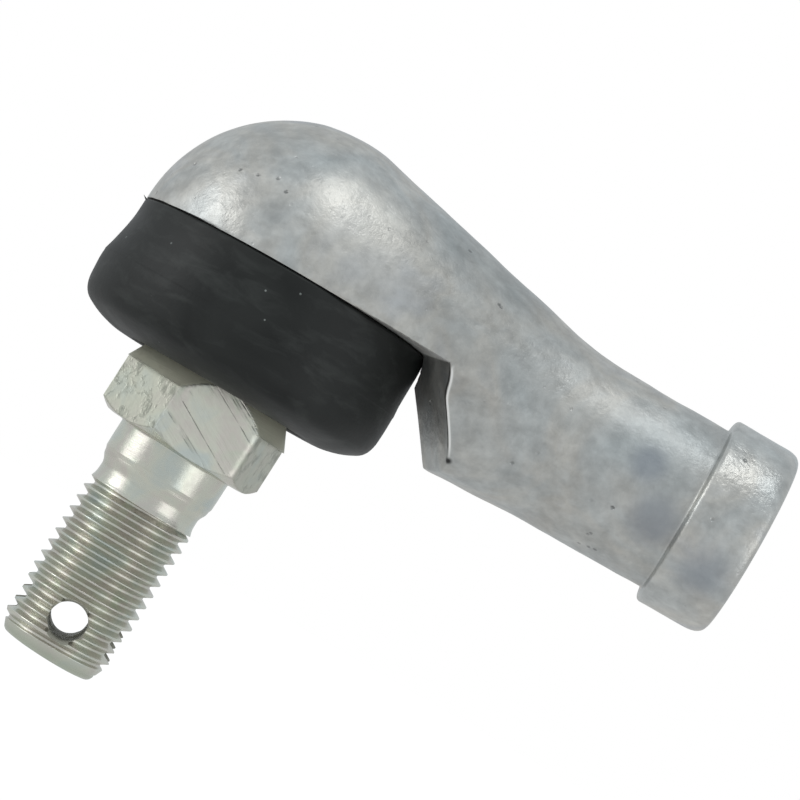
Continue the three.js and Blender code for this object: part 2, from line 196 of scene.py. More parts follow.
def skin(name, rings, poles=None, marks=None):
    """A closed skin through a grid of points, rings x columns x 3, in mm. Neighbouring rings are
    joined by quads. The first and last rings close on the two poles, or on each other without them.
    Marks are named rings x columns values that the finish reads."""
    count, columns = rings.shape[:2]
    numbers = np.arange(count * columns).reshape(count, columns)
    if poles is not None:
        these, following = numbers[:-1], numbers[1:]
    else:
        these, following = numbers, np.roll(numbers, -1, 0)
    corners = [these, np.roll(these, -1, 1), np.roll(following, -1, 1), following]
    quads = np.stack(corners, axis=-1).reshape(-1, 4)
    points = rings.reshape(-1, 3)
    faces = [quads]
    if poles is not None:
        points = np.vstack([points, poles])
        first, last = count * columns, count * columns + 1
        start, end = numbers[0], numbers[-1]
        faces.append(np.stack([np.full(columns, first), np.roll(start, -1), start], axis=-1))
        faces.append(np.stack([np.full(columns, last), end, np.roll(end, -1)], axis=-1))
    centred = points - points.mean(axis=0)
    volume = 0
    for block in faces:
        for second in range(1, block.shape[1] - 1):
            a, b, c = (centred[block[:, corner]] for corner in (0, second, second + 1))
            volume += np.einsum("ij,ij->", a, np.cross(b, c))
    if volume < 0:
        faces = [block[:, ::-1] for block in faces]
    mesh = bpy.data.meshes.new(name)
    mesh.from_pydata(place(points).tolist(), [], [face for block in faces for face in block.tolist()])
    mesh.shade_smooth()
    for mark, values in (marks or {}).items():
        attribute = mesh.attributes.new(mark, "FLOAT", "POINT")
        values = np.concatenate([values.ravel(), np.zeros(len(points) - values.size)])
        attribute.data.foreach_set("value", values.astype(np.float32))
    mesh.update()
    piece = bpy.data.objects.new(name, mesh)
    bpy.context.scene.collection.objects.link(piece)
    return piece


def turned(name, outline, columns=128, axis_matrix=np.eye(3), offset=(0, 0, 0)):
    """A solid turned about Z: an outline of (radius, height) points, upwards along the outside and
    starting and ending on the axis, swept round. The matrix and offset then put it in place."""
    outline = np.asarray(outline, float)
    angles = np.linspace(0, 2 * math.pi, columns, endpoint=False)
    radius, height = outline[1:-1, 0:1], outline[1:-1, 1:2]
    rings = np.stack([radius * np.cos(angles), radius * np.sin(angles), height + 0 * angles], axis=-1)
    poles = np.array([[0, 0, outline[0, 1]], [0, 0, outline[-1, 1]]])
    matrix = np.asarray(axis_matrix)
    return skin(name, rings @ matrix.T + offset, poles @ matrix.T + offset)


def combine(piece, tool, operation):
    """Joins the tool to the piece or cuts it out, and removes the tool."""
    modifier = piece.modifiers.new("combine", "BOOLEAN")
    modifier.operation = operation
    modifier.solver = "MANIFOLD"
    modifier.object = tool
    bpy.context.view_layer.update()
    result = piece.evaluated_get(bpy.context.evaluated_depsgraph_get())
    mesh = bpy.data.meshes.new_from_object(result)
    piece.modifiers.clear()
    piece.data = mesh
    mesh.shade_smooth()
    bpy.data.objects.remove(tool)
    return piece


def sharpen(piece, angle, is_sharp=None):
    """Marks edges that turn by more than the angle, in degrees. is_sharp may keep only some: it
    takes the edges' middle points, in mm from the ball centre."""
    mesh = piece.data
    mesh.set_sharp_from_angle(angle=math.radians(angle))
    if is_sharp is None:
        return
    ends = np.zeros(len(mesh.edges) * 2, int)
    mesh.edges.foreach_get("vertices", ends)
    points = np.zeros(len(mesh.vertices) * 3)
    mesh.vertices.foreach_get("co", points)
    middles = points.reshape(-1, 3)[ends.reshape(-1, 2)].mean(axis=1)
    marks = mesh.attributes.get("sharp_edge")
    values = np.zeros(len(mesh.edges), bool)
    marks.data.foreach_get("value", values)
    values &= is_sharp((middles - BALL_CENTRE) / MM)
    marks.data.foreach_set("value", values)


# ---------------------------------------------------------------- the casting

def cone_radius(x):
    return DOME_RADIUS * math.hypot(1, CONE_FALL) - CONE_FALL * x


def cast_profile():
    """The casting's outline about the arm's axis: x and radius, from past the dome to the mouth."""
    corner_x = (cone_radius(0) - ARM_RADIUS) / CONE_FALL
    return rounded_outline([
        (DOME_RADIUS * 0.23, cone_radius(DOME_RADIUS * 0.23), 0),
        (corner_x, ARM_RADIUS, 3.4),
        (COLLAR_START, ARM_END_RADIUS, 0.22),
        (COLLAR_START + 0.16, COLLAR_RADIUS, 0.4),
        (REACH - 0.05, COLLAR_RADIUS - 0.05, 1.5),
        (REACH, COLLAR_RADIUS - 1.9, 0.3),
        (REACH, SOCKET_MAJOR + 0.45, 0),
    ], 0.13)


def casting_columns():
    """Angles round the arm's axis, closer together under the dome and at its rim."""
    edge = -math.atan(EYE_SHARE - RIM_HEIGHT / DOME_RADIUS)
    spots = np.linspace(-math.pi / 2, math.pi / 2, 2000)
    crowd = 1 + 2 * (spots < edge) + 5 * np.exp(-(((spots - edge) / 0.05) ** 2))
    share = np.concatenate([[0], np.cumsum((crowd[1:] + crowd[:-1]) / 2)])
    right = np.interp(np.linspace(0, share[-1], 113), share, spots)
    return np.concatenate([right, (math.pi - right[::-1])[1:-1]])


def under_radius(x, radius, y, z):
    """Below the sides the neck shrinks to the arm's underside, by a smooth step over the undercut.
    The underside's section is a superellipse, whose power falls to a circle's as the arm rounds."""
    start = UNDER_ARM["start"]
    share = (np.minimum(x, UNDER_ARM["end"]) - start) / (UNDER_ARM["end"] - start)
    arm = UNDER_ARM["radius"] + share * (UNDER_ARM["far_radius"] - UNDER_ARM["radius"])
    below = np.arcsin(np.clip(-z / np.hypot(y, z), 0, 1))
    rounded = smoothstep((x - start) / (UNDER_ARM["round_by"] - start))
    power = UNDER_ARM["squareness"] + (2 - UNDER_ARM["squareness"]) * rounded
    arm = arm / (np.cos(below) ** power + np.sin(below) ** power) ** (1 / power)
    kept = 1 - smoothstep(below / UNDERCUT_ANGLE)
    return np.where(radius > arm, arm + (radius - arm) * kept, radius)


def casting_reach(x, radius, angle):
    """How far it is from (y, z) = (0, eye) at each angle to the outer skin, and under the dome to the
    flat rim, or to the V-shaped wall where that is further."""
    eye = EYE_SHARE * radius * (1 - smoothstep((x - 20) / 10))
    rise = np.sin(angle)
    side = np.abs(np.cos(angle))
    reach = radius + 0 * x
    for _ in range(16):
        outer = -eye * rise + np.sqrt(np.clip(reach**2 - (eye * side) ** 2, 0, None))
        arm_side = under_radius(x, radius, outer * side, eye + outer * rise)
        reach = np.where((x > 9) & (x < COLLAR_START - 1), arm_side, radius)
    dip = np.clip(-rise, 1e-3, None)
    flat = (eye - RIM_HEIGHT) / dip
    wall = (x - WALL_X + WALL_RAKE * eye) / np.clip(WALL_SPREAD * side - WALL_RAKE * rise, 1e-3, None)
    past_boot = smoothstep((np.hypot(x, wall * side) - BOOT_CLEARANCE) / 0.15)
    inner = np.where(wall > flat, flat + (wall - flat) * past_boot, flat)
    inner = np.where(x > WALL_X, smooth_max(flat, inner, 0.25), flat)
    return eye, outer, np.where(rise < -1e-3, inner, 99)


def wall_edge(angles, profile):
    """The x at which the wall meets the outer skin, found for each angle by halving. Above the rim
    it stays as it is at the rim."""
    under = np.arcsin(np.minimum(np.sin(angles), -EYE_SHARE))
    low, high = np.full_like(angles, WALL_X), np.full_like(angles, 22.0)
    for _ in range(30):
        middle = (low + high) / 2
        _, outer, inner = casting_reach(middle, np.interp(middle, profile[:, 0], profile[:, 1]), under)
        inside = inner > outer
        low, high = np.where(inside, low, middle), np.where(inside, middle, high)
    return (low + high) / 2


def edge_wear_sheen_and_shadow(straight, angles):
    """The wall's outer edge has a bright line of wear and painted highlight, up to 1, and just inside it runs a
    painted shadow, a dark line down to -1.
    Both are on the wall's sides only, and follow the ring that bends along its edge."""
    below = np.degrees(np.arcsin(np.clip(-np.sin(angles), 0, 1)))
    along_side = smoothstep((below - 12) / 5) * (1 - smoothstep((below - 45) / 10))
    from_edge = (straight - TYPICAL_EDGE_X)[:, None]
    bright = np.exp(-(((from_edge - 0.13) / 0.1) ** 2))
    dark = np.exp(-(((from_edge + 0.1) / 0.08) ** 2))
    return (bright - dark) * along_side


def socket_bore(angles):
    """The socket's grid: x runs back from the mouth through the countersink and the helical thread
    to the drill's tip, and the thread fades out towards it."""
    sink = np.array([(REACH - 0.2, SOCKET_MAJOR + 0.2), (REACH - 0.7, SOCKET_MAJOR - 0.25)])
    bore_x = np.arange(REACH - 1.0, REACH - SOCKET_DEPTH, -PITCH / 5)
    fade = smoothstep((bore_x - (REACH - SOCKET_DEPTH + 1.5)) / 1.5)[:, None]
    depth = 1 - thread_depth(bore_x[:, None] / PITCH - angles / (2 * math.pi))
    bore_radius = SOCKET_MINOR + (SOCKET_MAJOR - SOCKET_MINOR) * depth * fade
    tip = np.array([(REACH - SOCKET_DEPTH - 0.3, SOCKET_MINOR - 0.3), (REACH - SOCKET_DEPTH - 1.6, 1.6)])
    x = np.concatenate([sink[:, 0], bore_x, tip[:, 0]])[:, None] + 0 * angles
    radius = np.vstack([sink[:, 1:] + 0 * angles, bore_radius, tip[:, 1:] + 0 * angles])
    return np.stack([x, radius * np.cos(angles), radius * np.sin(angles)], axis=-1)


def casting():
    """The casting's skin: rings round the arm's axis from the dome's end to the mouth, then back in
    through the countersink and the helical thread of the socket to the drill tip."""
    profile = cast_profile()
    angles = casting_columns()
    bearing = np.radians(stretches((1.2, 30, 2.4), (30, 103.2, 1.9)))
    dome_x, dome_radius = -DOME_RADIUS * np.cos(bearing), DOME_RADIUS * np.sin(bearing)
    neck_x = stretches((3.1, 11.4, 0.4), (11.4, 13.2, 0.15), (13.2, 13.9, 0.05), (13.9, 15.8, 0.12),
                       (15.8, 17.0, 0.045), (17.0, 21, 0.2), (21, 36.3, 0.42))
    end = profile[profile[:, 0] > 36.5]
    straight = np.concatenate([dome_x, neck_x, end[:, 0]])
    neck_radius = np.interp(neck_x, profile[:, 0], profile[:, 1])
    plain_radius = np.concatenate([dome_radius, neck_radius, end[:, 1]])
    # rings near the wall bend, so that one of them follows the wall's edge
    bend = np.exp(-(((straight - TYPICAL_EDGE_X) / 2.6) ** 2))[:, None]
    x = straight[:, None] + bend * (wall_edge(angles, profile) - TYPICAL_EDGE_X)
    near_wall = (bend > 1e-3) & (x > 3.2)
    radius = np.where(near_wall, np.interp(x, profile[:, 0], profile[:, 1]), plain_radius[:, None])
    eye, outer, inner = casting_reach(x, radius, angles)
    ray = smooth_min(outer, inner, np.minimum(RIM_ROUNDING, radius * 0.3))
    outside = np.stack([x + 0 * ray, ray * np.cos(angles), eye + ray * np.sin(angles)], axis=-1)
    on_skin = (outside[..., 0] < REACH - 0.3)[..., None]
    uneven = ripple(outside, 5.0, 0.035, 11)[..., None] + ripple(outside, 2.0, 0.012, 12)[..., None]
    axis_point = outside * [1, 0, 0] + [0, 0, 0.001]
    outward = outside - axis_point
    outward /= np.linalg.norm(outward, axis=-1, keepdims=True)
    for centre, size in DENTS:
        from_dent = np.linalg.norm(outside - np.array(centre), axis=-1) / size
        uneven = uneven - DENT_DEPTH * (np.clip(1 - from_dent**2, 0, 1) ** 2)[..., None]
    outside = outside + outward * uneven * on_skin * smoothstep(radius / 3)[..., None]
    inside = socket_bore(angles)
    poles = np.array([[-DOME_RADIUS, 0, 0], [REACH - SOCKET_DEPTH - 2.4, 0, 0]])
    marks = {"wear_sheen_and_shadow": np.vstack([edge_wear_sheen_and_shadow(straight, angles), np.zeros(inside.shape[:2])])}
    return skin("housing_casting", np.concatenate([outside, inside]), poles, marks)


def spigot():
    """The short tube below the dome that carries the boot, with the groove for the boot's band."""
    groove, top, bottom = (BAND_GROOVE[key] for key in ("radius", "top", "bottom"))
    outline = [
        (0, SPIGOT_BOTTOM), (SPIGOT_RADIUS - 0.4, SPIGOT_BOTTOM), (SPIGOT_RADIUS, SPIGOT_BOTTOM + 0.6),
        (SPIGOT_RADIUS, bottom), (groove, bottom), (groove, top), (SPIGOT_RADIUS, top),
        (SPIGOT_RADIUS, 1), (0, 1),
    ]
    return turned("spigot", outline)


def cavity():
    """The room for the ball, its seats and the spring pocket, open below through the spigot."""
    pocket_angle = math.acos(POCKET_RADIUS / CAVITY_RADIUS)
    rises = np.linspace(0, pocket_angle, 24)
    dome = [(CAVITY_RADIUS * math.cos(rise), CAVITY_RADIUS * math.sin(rise)) for rise in rises]
    groove, top, bottom = (RING_GROOVE[key] for key in ("radius", "top", "bottom"))
    outline = [
        (0, SPIGOT_BOTTOM - 1), (CAVITY_RADIUS, SPIGOT_BOTTOM - 1),
        (CAVITY_RADIUS, bottom), (groove, bottom), (groove, top), (CAVITY_RADIUS, top),
        *dome, (POCKET_RADIUS, POCKET_TOP), (0, POCKET_TOP),
    ]
    return turned("cavity", outline)


def make_housing():
    piece = casting()
    combine(piece, spigot(), "UNION")
    combine(piece, cavity(), "DIFFERENCE")
    sharpen(piece, 50)
    return piece


# ---------------------------------------------------------------- the ball stud

def stud_matrix():
    """Turns the stud's own frame, axis along Z, on to its leaning axis in the XZ plane."""
    lean = math.atan2(STUD_UP[0], STUD_UP[2])
    return np.array([[math.cos(lean), 0, math.sin(lean)], [0, 1, 0], [-math.sin(lean), 0, math.cos(lean)]])


def stud_outline():
    """(distance down the axis, radius) from the ball's top to the end of the shank's groove."""
    neck_at = math.sqrt(BALL_RADIUS**2 - NECK_RADIUS**2)
    ball_angle = np.linspace(math.radians(3), math.pi - math.acos(neck_at / BALL_RADIUS), 64)
    ball = np.stack([-BALL_RADIUS * np.cos(ball_angle), BALL_RADIUS * np.sin(ball_angle)], axis=1)
    head = rounded_outline([
        (neck_at, NECK_RADIUS, 0),
        (HEX_TOP - 0.02, NECK_RADIUS, 0.3),
        (HEX_TOP, 5.3, 0.1),
        (9.75, 6.42, 0.3),
        (10.6, 6.86, 0.6),
        (12.05, 7.6, 0.3),
        (15.6, 7.6, 0.1),
        (16.32, 6.55, 0.15),
        (HEX_BOTTOM, 6.1, 0.15),
        (HEX_BOTTOM + 0.04, SHANK_RADIUS, 0.16),
        (17.9, SHANK_RADIUS, 0.1),
        (18.9, SHANK_RADIUS - 0.02, 0.1),
        (19.0, SHANK_RADIUS - 0.1, 0.06),
        (19.5, SHANK_RADIUS - 0.18, 0.15),
        (20.1, 4.52, 0.3),
        (21.1, 4.55, 0.3),
        (THREAD_START, RUN_IN_RADIUS, 0.2),
    ], 0.085)
    ledge = np.array([FLATS_TOP - 0.02, FLATS_TOP + 0.03])
    spots = np.searchsorted(head[:, 0], ledge)
    head = np.insert(head, spots, np.stack([ledge, np.interp(ledge, *head.T)], axis=1), axis=0)
    return np.vstack([ball, head[1:]])


def stud_rings():
    """The stud's grid. The hexagon is the lesser of its flats' distance and the turned bar, and the
    thread is the lesser of the helical thread and the tapered tip."""
    columns = 192
    angles = CORNER_AZIMUTH + np.arange(columns) * 2 * math.pi / columns
    outline = stud_outline()
    thread_rows = np.arange(THREAD_START + 0.05, STUD_LENGTH - 0.3, PITCH / 20)
    along = np.concatenate([outline[:, 0], thread_rows])[:, None]
    radius = np.concatenate([outline[:, 1], np.full(len(thread_rows), MAJOR_RADIUS)])[:, None] + 0 * angles
    faces = CORNER_AZIMUTH + math.radians(30) + np.radians(60) * np.arange(6)[:, None]
    distances = HALF_FLATS / np.maximum(np.cos(angles - faces), 0.05)
    long_flat = distances[5]
    crisp = distances.min(axis=0)
    soft = smooth_min(long_flat, distances[0], SOFT_CORNER)
    flats = np.where(np.cos(angles - CORNER_AZIMUTH) > math.cos(math.radians(30)), soft, crisp)
    flats = np.where(along > FLATS_TOP, flats, long_flat)
    hexagon = smooth_min(flats, radius, 0.06)
    in_hexagon = (along > HEX_TOP + 0.01) & (along < HEX_BOTTOM + 0.01)
    on_flat = (flats < radius + 0.02) & in_hexagon & (radius > 6)
    on_long_flat = on_flat & (long_flat < crisp + 0.02)
    radius = np.where(in_hexagon & (radius > 6), hexagon, radius)
    turns = (STUD_LENGTH - along) / PITCH - angles / (2 * math.pi)
    start = smoothstep((along - THREAD_START) / 0.8)
    depth = thread_depth(turns)
    cut = MAJOR_RADIUS - (MAJOR_RADIUS - MINOR_RADIUS) * depth
    run_in = RUN_IN_RADIUS + (MAJOR_RADIUS - RUN_IN_RADIUS) * start
    taper_at = [STUD_LENGTH - 2.2, STUD_LENGTH - 0.25, STUD_LENGTH]
    taper = np.interp(along, taper_at, [MAJOR_RADIUS + 0.1, 4.1, 3.65])
    threaded = np.minimum(np.minimum(cut, run_in), taper)
    radius = np.where(along > THREAD_START, threaded, radius)
    tip = np.array([(-0.18, 4.05), (-0.05, 3.9), (0, 3.6), (0, 1.8)]) + [STUD_LENGTH, 0]
    deep = np.clip((MAJOR_RADIUS - radius) / (MAJOR_RADIUS - MINOR_RADIUS), 0, 1)
    deep = np.where(along > THREAD_START, deep, 0)
    along = np.vstack([along, tip[:, :1]])
    radius = np.vstack([radius, tip[:, 1:] + 0 * angles])
    rings = np.stack([radius * np.cos(angles), radius * np.sin(angles), -along + 0 * angles], axis=-1)
    past_tip = np.zeros((len(tip), columns))
    marks = {"flat": np.vstack([on_flat, past_tip]), "long_flat": np.vstack([on_long_flat, past_tip]),
             "thread_depth": np.vstack([deep, past_tip]), "along": along + 0 * angles}
    return rings, marks


def cross_hole(azimuth):
    """A drilled hole across the stud, widening at both mouths."""
    radius = CROSS_HOLE["radius"]
    outline = [(0, -7), (radius + 2.0, -7), (radius + 0.25, -4.75), (radius, -4.35),
               (radius, 4.35), (radius + 0.25, 4.75), (radius + 2.0, 7), (0, 7)]
    c, s = math.cos(azimuth), math.sin(azimuth)
    across = np.array([[0, -s, c], [0, c, s], [-1, 0, 0]])
    matrix = stud_matrix() @ across
    return turned("cross_hole", outline, 64, matrix, stud_matrix() @ [0, 0, -CROSS_HOLE["at"]])


def stud_sharp(points):
    """Sharp edges are kept everywhere but on the thread, whose crests cross the grid. The edges of
    the cross holes stay sharp there too."""
    local = points @ stud_matrix()
    near_hole = np.zeros(len(local), bool)
    for turn in (0, math.pi / 2):
        azimuth = CROSS_HOLE["azimuth"] + turn
        sideways = local[:, 1] * math.cos(azimuth) - local[:, 0] * math.sin(azimuth)
        near_hole |= np.hypot(sideways, local[:, 2] + CROSS_HOLE["at"]) < CROSS_HOLE["radius"] + 0.02
    return (local[:, 2] > -THREAD_START) | near_hole


def make_stud():
    matrix = stud_matrix()
    poles = np.array([[0, 0, BALL_RADIUS], [0, 0, -STUD_LENGTH]])
    rings, marks = stud_rings()
    piece = skin("ball_stud_turned", rings @ matrix.T, poles @ matrix.T, marks)
    for turn in (0, math.pi / 2):
        combine(piece, cross_hole(CROSS_HOLE["azimuth"] + turn), "DIFFERENCE")
    sharpen(piece, 32, stud_sharp)
    return piece


# ---------------------------------------------------------------- the dust boot

def boot_outline():
    """The boot's section as a closed loop of (radius, height) points."""
    top = RIM_HEIGHT - 0.07
    band_top, band_bottom = BAND_GROOVE["top"], BAND_GROOVE["bottom"]
    seam = (8.1, -9.6, 0)
    corners = [
        (8.3, -10.28, 0.4), (9.6, -10.3, 0.8), (11.6, -9.78, 1.0), (13.35, -8.75, 1.6), (13.52, -6, 0.8),
        (13.5, -5.05, 0.3), (13.68, -4.78, 0.15), (13.42, -4.55, 0.2), (13.22, -2.2, 1.0),
        (13.12, top, 0.25), (11.6, top, 0.1), (11.6, band_top, 0.1), (12.4, band_top, 0.1),
        (12.4, band_bottom, 0.1), (11.6, band_bottom, 0.1), (11.75, -7, 0.6),
        (11.3, -8.4, 0.6), (10.2, -8.75, 0.6), (9.5, -8.2, 0.5),
        (9, -7.3, 0.5), (7.6, -6.2, 0.6), (6.2, -5.95, 0.5), (5, -6, 0.3), (4.5, -6.4, 0.2),
        (4.5, -8.5, 0.2), (5.4, -8.7, 0.1), (5.4, -7, 0.05), (6.95, -7, 0.05), (6.95, -8.7, 0.1),
        (7.9, -9, 0.4),
    ]
    return rounded_outline([seam, *corners, seam], 0.22)[:-1]


def make_boot():
    """The boot: its section swept round the dome's axis, with its lower part moved on to the stud."""
    outline = boot_outline()
    angles = np.linspace(0, 2 * math.pi, 160, endpoint=False)
    radius, height = outline[:, :1], outline[:, 1:]
    rings = np.stack([radius * np.cos(angles), radius * np.sin(angles), height + 0 * angles], axis=-1)
    outward = rings * [1, 1, 0] / np.maximum(radius, 1e-6)[..., None]
    swell = ripple(rings, 9.0, 0.05, 21) + ripple(rings, 3.0, 0.012, 22)
    rings = rings + outward * (swell * smoothstep((radius - 12) / 1.0))[..., None]
    lean = 1 - smoothstep((rings[..., 2] - BOOT_LEAN["bottom"]) / (BOOT_LEAN["top"] - BOOT_LEAN["bottom"]))
    x = rings[..., 0]
    rings[..., 2] -= x * BOOT_LEAN["tip"] * lean
    rings[..., 0] = x + BOOT_LEAN["shift"] * lean
    return skin("dust_boot_moulded", rings)


# ---------------------------------------------------------------- finishes

def new_finish(name):
    """A material with an empty node tree apart from its output and one Principled shader."""
    material = bpy.data.materials.new(name)
    material.use_nodes = True
    tree = material.node_tree
    shader = tree.nodes["Principled BSDF"]
    coordinates = tree.nodes.new("ShaderNodeTexCoord").outputs["Object"]
    return material, tree, shader, coordinates


def add(tree, kind, inputs, **settings):
    """Adds a shader node. An input is a plain value or another node's output."""
    made = tree.nodes.new("ShaderNode" + kind)
    for key, value in settings.items():
        setattr(made, key, value)
    for socket, value in inputs.items():
        if isinstance(value, bpy.types.NodeSocket):
            tree.links.new(value, made.inputs[socket])
        else:
            made.inputs[socket].default_value = value
    return made


def noise(tree, coordinates, size_mm, detail=3.0, roughness=0.5, distortion=0.0):
    """Noise whose blotches are about size_mm across."""
    inputs = {"Vector": coordinates, "Scale": 1 / (size_mm * MM), "Detail": detail,
              "Roughness": roughness, "Distortion": distortion}
    return add(tree, "TexNoise", inputs).outputs["Fac"]


def dots(tree, coordinates, size_mm):
    """Distance from the nearest of scattered points about size_mm apart, as a share of that size."""
    inputs = {"Vector": coordinates, "Scale": 1 / (size_mm * MM)}
    return add(tree, "TexVoronoi", inputs).outputs["Distance"]


def spread(tree, value, low, high, to_low=0.0, to_high=1.0):
    """Maps low..high to to_low..to_high, and stays within them."""
    inputs = {"Value": value, "From Min": low, "From Max": high, "To Min": to_low, "To Max": to_high}
    return add(tree, "MapRange", inputs, clamp=True).outputs["Result"]


def arithmetic(tree, operation, a, b):
    return add(tree, "Math", {0: a, 1: b}, operation=operation).outputs[0]


def times(tree, a, b):
    return arithmetic(tree, "MULTIPLY", a, b)


def less(tree, a, b):
    return arithmetic(tree, "SUBTRACT", a, b)


def plus(tree, a, b):
    return arithmetic(tree, "ADD", a, b)


def mark(tree, name):
    """The values that a piece's mesh carries under that name."""
    return add(tree, "Attribute", {}, attribute_name=name).outputs["Fac"]


def ramp(tree, value, stops):
    """A colour ramp through (position, (r, g, b)) stops."""
    made = add(tree, "ValToRGB", {"Fac": value})
    elements = made.color_ramp.elements
    while len(elements) < len(stops):
        elements.new(0.5)
    for element, (position, colour) in zip(elements, stops):
        element.position = position
        element.color = (*colour, 1)
    return made.outputs["Color"]


def mix(tree, share, a, b, blend="MIX"):
    """Mixes two colours: b by the share, over a."""
    made = add(tree, "Mix", {}, data_type="RGBA", blend_type=blend)
    for socket, value in ((0, share), (6, a), (7, b)):
        if isinstance(value, bpy.types.NodeSocket):
            tree.links.new(value, made.inputs[socket])
        else:
            made.inputs[socket].default_value = value if socket == 0 else (*value, 1)
    return made.outputs[2]


def stretched(tree, coordinates, scale, turn=(0, 0, 0)):
    """Coordinates turned and then stretched, for streaks and scratches."""
    turned_first = add(tree, "Mapping", {"Vector": coordinates, "Rotation": turn}).outputs["Vector"]
    return add(tree, "Mapping", {"Vector": turned_first, "Scale": scale}).outputs["Vector"]


def bump(tree, height, depth_mm, normal=None):
    inputs = {"Height": height, "Distance": depth_mm * MM, "Strength": 1.0}
    if normal is not None:
        inputs["Normal"] = normal
    return add(tree, "Bump", inputs).outputs["Normal"]


def shaded(tree, colour, share):
    """The colour, lighter or darker by a share."""
    grey = add(tree, "CombineColor", {0: share, 1: share, 2: share}).outputs[0]
    return mix(tree, 1.0, colour, grey, "MULTIPLY")


def near(tree, coordinates, centre, radius):
    """1 at a place given in mm from the ball centre, falling smoothly to 0 at the radius."""
    inputs = {0: coordinates, 1: tuple(place(centre))}
    distance = add(tree, "VectorMath", inputs, operation="DISTANCE").outputs["Value"]
    inputs = {"Value": distance, "From Min": 0.25 * radius * MM, "From Max": radius * MM,
              "To Min": 1.0, "To Max": 0.0}
    return add(tree, "MapRange", inputs, interpolation_type="SMOOTHSTEP").outputs["Result"]


# marks on the casting: each a centre and a radius
DOME_PAINTED_HIGHLIGHT = ((3.2, -10.2, 7.0), 5.2)  # a painted highlight: a bright warm patch where the dome catches the light, with more relief
# painted shade on the neck, darker and also rougher
DULL_SHADED_PATCH = ((15, -7, 6), 11)
CORNER_PIT = ((18.9, -6.3, -6.4), 0.5)  # at the end wall's lower corner
# painted shade: dark blue-grey patches on the collar and the arm next to it, on the front
PAINTED_SHADE_PATCHES = (((40.4, -6.4, -3.6), 3.4), ((35.2, -6.4, -2.4), 3.2), ((32.7, -6.9, 1.2), 2.2))
DOME_TOP_DARK_REFLECTION = ((-5.4, 0.9, 11.8), 3.6)  # a painted dark reflection along the dome's top, ragged, with a rough bump


